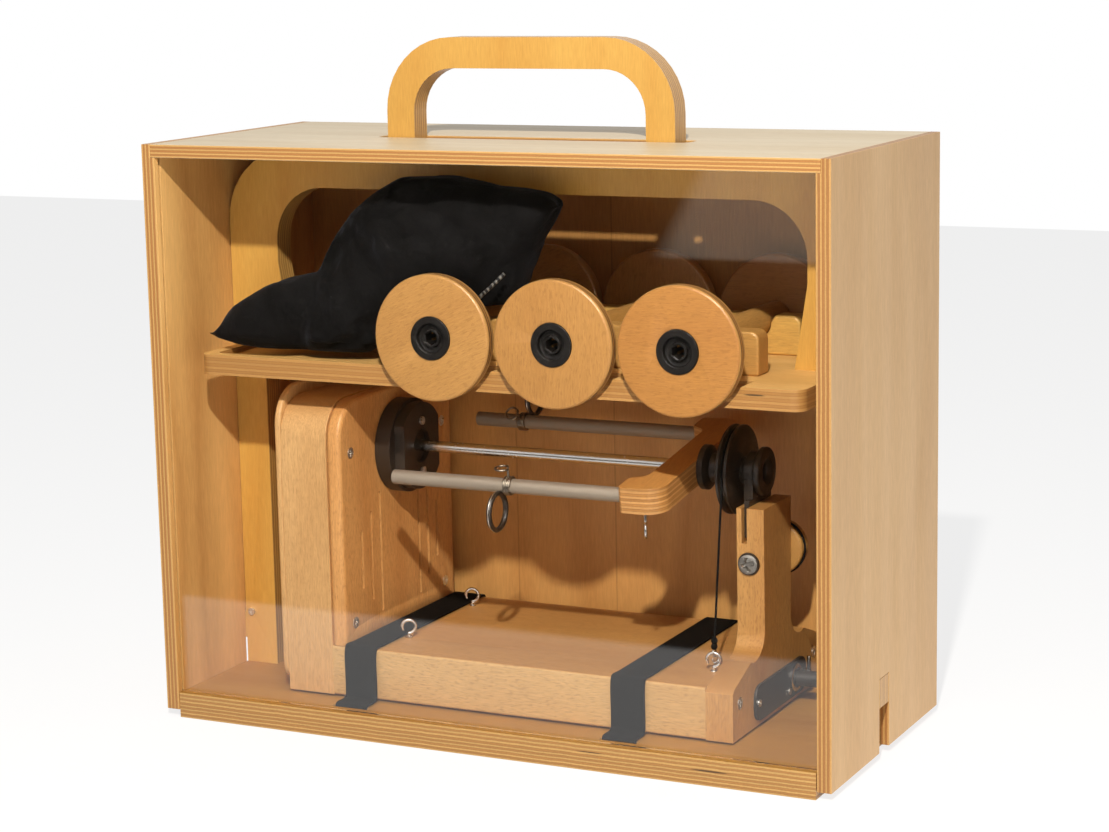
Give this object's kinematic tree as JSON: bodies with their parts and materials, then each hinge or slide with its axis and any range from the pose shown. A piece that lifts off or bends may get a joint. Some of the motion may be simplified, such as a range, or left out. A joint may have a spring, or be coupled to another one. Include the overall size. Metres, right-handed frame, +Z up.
{
  "type": "electric yarn spinner in carrying case",
  "caption": "Electric yarn spinner with motor-driven bobbin hub, U-shaped flyer and brake pulley, strapped in a lift-off plywood case with clear front, handle, bobbin shelf and bag.",
  "frame": {"origin": "centre of the case's base underside, on the surface it stands on", "axes": "+X to the right along the flyer seen from the front, -Y to the front with the clear window, +Z up"},
  "size_m": [0.5, 0.212, 0.4738],
  "materials": {
    "base_board": "oiled birch plywood",
    "carry_frame": "clear varnish, warm",
    "frame_screws": "zinc plated",
    "shelf": "oiled birch plywood",
    "rack_front": "oiled birch plywood",
    "rack_rear": "oiled birch plywood",
    "strap_left": "black",
    "strap_right": "black",
    "storage_bag": "black",
    "hood_left": "oiled birch plywood",
    "hood_right": "oiled birch plywood",
    "hood_top": "oiled birch plywood",
    "hood_back": "oiled plywood, darker",
    "hood_window": "clear acrylic",
    "bobbin1_flanges": "smooth, clear finish",
    "bobbin1_core": "smooth",
    "bobbin1_bushings": "black",
    "bobbin2_flanges": "smooth, clear finish",
    "bobbin2_core": "smooth",
    "bobbin2_bushings": "black",
    "bobbin3_flanges": "smooth, clear finish",
    "bobbin3_core": "smooth",
    "bobbin3_bushings": "black",
    "spinner_base": "oiled birch plywood",
    "spinner_feet": "black",
    "base_hooks": "zinc plated",
    "brake_eye": "zinc plated",
    "upright": "oiled birch plywood",
    "upright_screws": "zinc plated",
    "bearing_block": "black, satin",
    "clamp_screw": "zinc plated",
    "tension_knob": "turned hardwood",
    "brake_cord": "black",
    "control_panel": "matt black",
    "panel_screws": "zinc plated",
    "speed_knob": "black, satin",
    "direction_lever": "bright",
    "circuit_board": "green board",
    "housing_block": "oiled birch plywood",
    "housing_plate": "oiled birch plywood",
    "housing_cover": "oiled birch plywood",
    "housing_screws": "zinc plated",
    "bearing_carrier": "bright",
    "hub_bearings": "bright",
    "motor": "satin",
    "motor_bracket": "bright",
    "motor_pulley": "bright",
    "drive_belt": "black",
    "drive_pulley": "black, satin",
    "drive_hub": "black, satin",
    "hub_screws": "zinc plated",
    "flyer_yoke": "laminated wood, oiled",
    "flyer_shaft": "bright",
    "flyer_tube_front": "drawn tube, satin",
    "flyer_tube_rear": "drawn tube, satin",
    "brake_pulley": "black, satin",
    "orifice": "black, satin",
    "yoke_hook": "zinc plated",
    "hook_front": "black, satin",
    "hook_rear": "black, satin"
  },
  "bodies": {
    "base": {"base_board": "base_board", "carry_frame": "carry_frame", "frame_screws": "frame_screws", "shelf": "shelf", "rack_front": "rack_front", "rack_rear": "rack_rear", "strap_left": "strap_left", "strap_right": "strap_right", "storage_bag": "storage_bag", "spinner_base": "spinner_base", "spinner_feet": "spinner_feet", "base_hooks": "base_hooks", "brake_eye": "brake_eye", "upright": "upright", "upright_screws": "upright_screws", "bearing_block": "bearing_block", "clamp_screw": "clamp_screw", "brake_cord": "brake_cord", "control_panel": "control_panel", "panel_screws": "panel_screws", "circuit_board": "circuit_board", "housing_block": "housing_block", "housing_plate": "housing_plate", "housing_cover": "housing_cover", "housing_screws": "housing_screws", "bearing_carrier": "bearing_carrier", "hub_bearings": "hub_bearings", "motor": "motor", "motor_bracket": "motor_bracket", "drive_belt": "drive_belt"},
    "hood": {"hood_left": "hood_left", "hood_right": "hood_right", "hood_top": "hood_top", "hood_back": "hood_back", "hood_window": "hood_window"},
    "bobbin1": {"bobbin1_flanges": "bobbin1_flanges", "bobbin1_core": "bobbin1_core", "bobbin1_bushings": "bobbin1_bushings"},
    "bobbin2": {"bobbin2_flanges": "bobbin2_flanges", "bobbin2_core": "bobbin2_core", "bobbin2_bushings": "bobbin2_bushings"},
    "bobbin3": {"bobbin3_flanges": "bobbin3_flanges", "bobbin3_core": "bobbin3_core", "bobbin3_bushings": "bobbin3_bushings"},
    "knob": {"tension_knob": "tension_knob"},
    "speed": {"speed_knob": "speed_knob"},
    "lever": {"direction_lever": "direction_lever"},
    "hub": {"drive_hub": "drive_hub", "hub_screws": "hub_screws", "drive_pulley": "drive_pulley"},
    "rotor": {"motor_pulley": "motor_pulley"},
    "flyer": {"flyer_yoke": "flyer_yoke", "flyer_shaft": "flyer_shaft", "flyer_tube_front": "flyer_tube_front", "flyer_tube_rear": "flyer_tube_rear", "brake_pulley": "brake_pulley", "orifice": "orifice", "yoke_hook": "yoke_hook"},
    "front_hook": {"hook_front": "hook_front"},
    "rear_hook": {"hook_rear": "hook_rear"}
  },
  "joints": [
    {"name": "hood_lift", "type": "slide", "parent": "base", "child": "hood", "axis": [0, 0, 1], "range_m": [0, 0.48]},
    {"name": "bobbin1_turn", "type": "hinge", "parent": "base", "child": "bobbin1", "pos_m": [-0.0335, 0, 0.2805], "axis": [0, 1, 0], "continuous": true},
    {"name": "bobbin2_turn", "type": "hinge", "parent": "base", "child": "bobbin2", "pos_m": [0.0552, 0, 0.2805], "axis": [0, 1, 0], "continuous": true},
    {"name": "bobbin3_turn", "type": "hinge", "parent": "base", "child": "bobbin3", "pos_m": [0.1439, 0, 0.2805], "axis": [0, 1, 0], "continuous": true},
    {"name": "tension_turn", "type": "hinge", "parent": "base", "child": "knob", "pos_m": [0.1591, 0.0416, 0.1264], "axis": [0, 1, 0], "range_deg": [-180, 180]},
    {"name": "speed_turn", "type": "hinge", "parent": "base", "child": "speed", "pos_m": [0.18, 0.036, 0.036], "axis": [1, 0, 0], "range_deg": [0, 270]},
    {"name": "direction_flip", "type": "hinge", "parent": "base", "child": "lever", "pos_m": [0.18, 0.052, 0.0346], "axis": [1, 0, 0], "range_deg": [-25, 25]},
    {"name": "hub_spin", "type": "hinge", "parent": "base", "child": "hub", "pos_m": [-0.11, 0.009, 0.1848], "axis": [1, 0, 0], "continuous": true},
    {"name": "rotor_spin", "type": "hinge", "parent": "base", "child": "rotor", "pos_m": [-0.15, 0.009, 0.104], "axis": [1, 0, 0], "continuous": true},
    {"name": "flyer_turn", "type": "hinge", "parent": "base", "child": "flyer", "pos_m": [0, 0.009, 0.1848], "axis": [1, 0, 0], "range_deg": [-50, 10]},
    {"name": "front_hook_slide", "type": "slide", "parent": "flyer", "child": "front_hook", "axis": [1, 0, 0], "range_m": [-0.078, 0.074]},
    {"name": "rear_hook_slide", "type": "slide", "parent": "flyer", "child": "rear_hook", "axis": [1, 0, 0], "range_m": [-0.03, 0.12]}
  ],
  "couplings": [
    {"joint": "rotor_spin", "follows": "hub_spin", "ratio": 4.8136}
  ]
}
